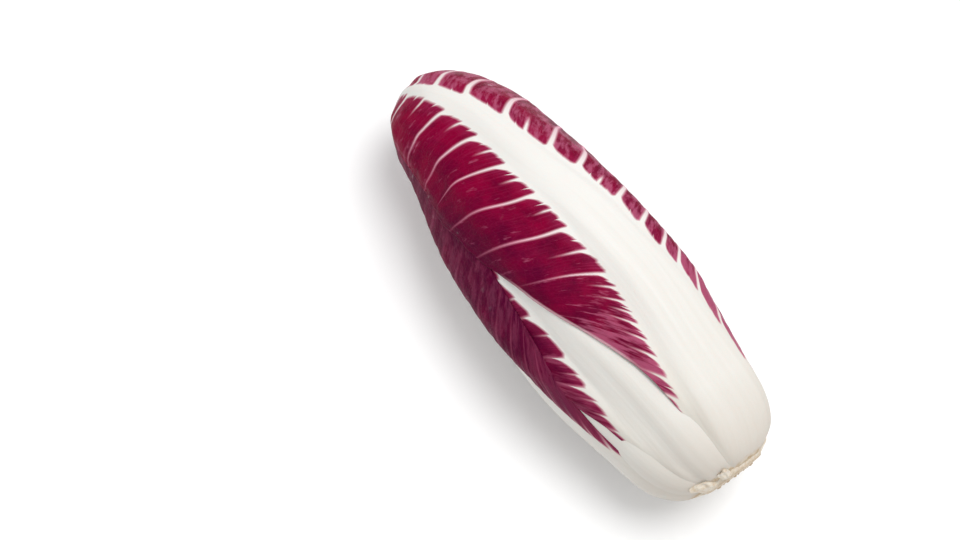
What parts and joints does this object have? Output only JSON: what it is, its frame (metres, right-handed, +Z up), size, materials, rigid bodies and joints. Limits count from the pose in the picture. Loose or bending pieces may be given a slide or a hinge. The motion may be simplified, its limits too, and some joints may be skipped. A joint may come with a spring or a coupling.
{
  "type": "treviso radicchio head",
  "caption": "Elongated head of Treviso radicchio lying on its side: burgundy leaves with broad white ribs lapped round a tight heart, with a cut stem end.",
  "frame": {"origin": "middle of the head's length and width, on the surface it rests on", "axes": "+Z up; the head lies along X with its cut stem end towards +X and its nose towards -X"},
  "size_m": [0.2068, 0.0816, 0.0809],
  "materials": {
    "leaf_1": "waxy semi-gloss burgundy leaf blade with a satin cream-white rib and veins",
    "leaf_2": "waxy semi-gloss burgundy leaf blade with a satin cream-white rib and veins",
    "leaf_3": "waxy semi-gloss burgundy leaf blade with a satin cream-white rib and veins",
    "leaf_4": "waxy semi-gloss burgundy leaf blade with a satin cream-white rib and veins",
    "leaf_5": "waxy semi-gloss burgundy leaf blade with a satin cream-white rib and veins",
    "leaf_6": "waxy semi-gloss burgundy leaf blade with a satin cream-white rib and veins",
    "leaf_7": "waxy semi-gloss burgundy leaf blade with a satin cream-white rib and veins",
    "leaf_8": "waxy semi-gloss burgundy leaf blade with a satin cream-white rib and veins",
    "heart": "waxy burgundy young leaves, cream-white towards the stem",
    "stem": "matt cream-tan cut stem end, drying"
  },
  "bodies": {
    "root": {"leaf_1": "leaf_1", "leaf_2": "leaf_2", "leaf_3": "leaf_3", "leaf_4": "leaf_4", "leaf_5": "leaf_5", "leaf_6": "leaf_6", "leaf_7": "leaf_7", "leaf_8": "leaf_8", "heart": "heart", "stem": "stem"}
  },
  "joints": []
}
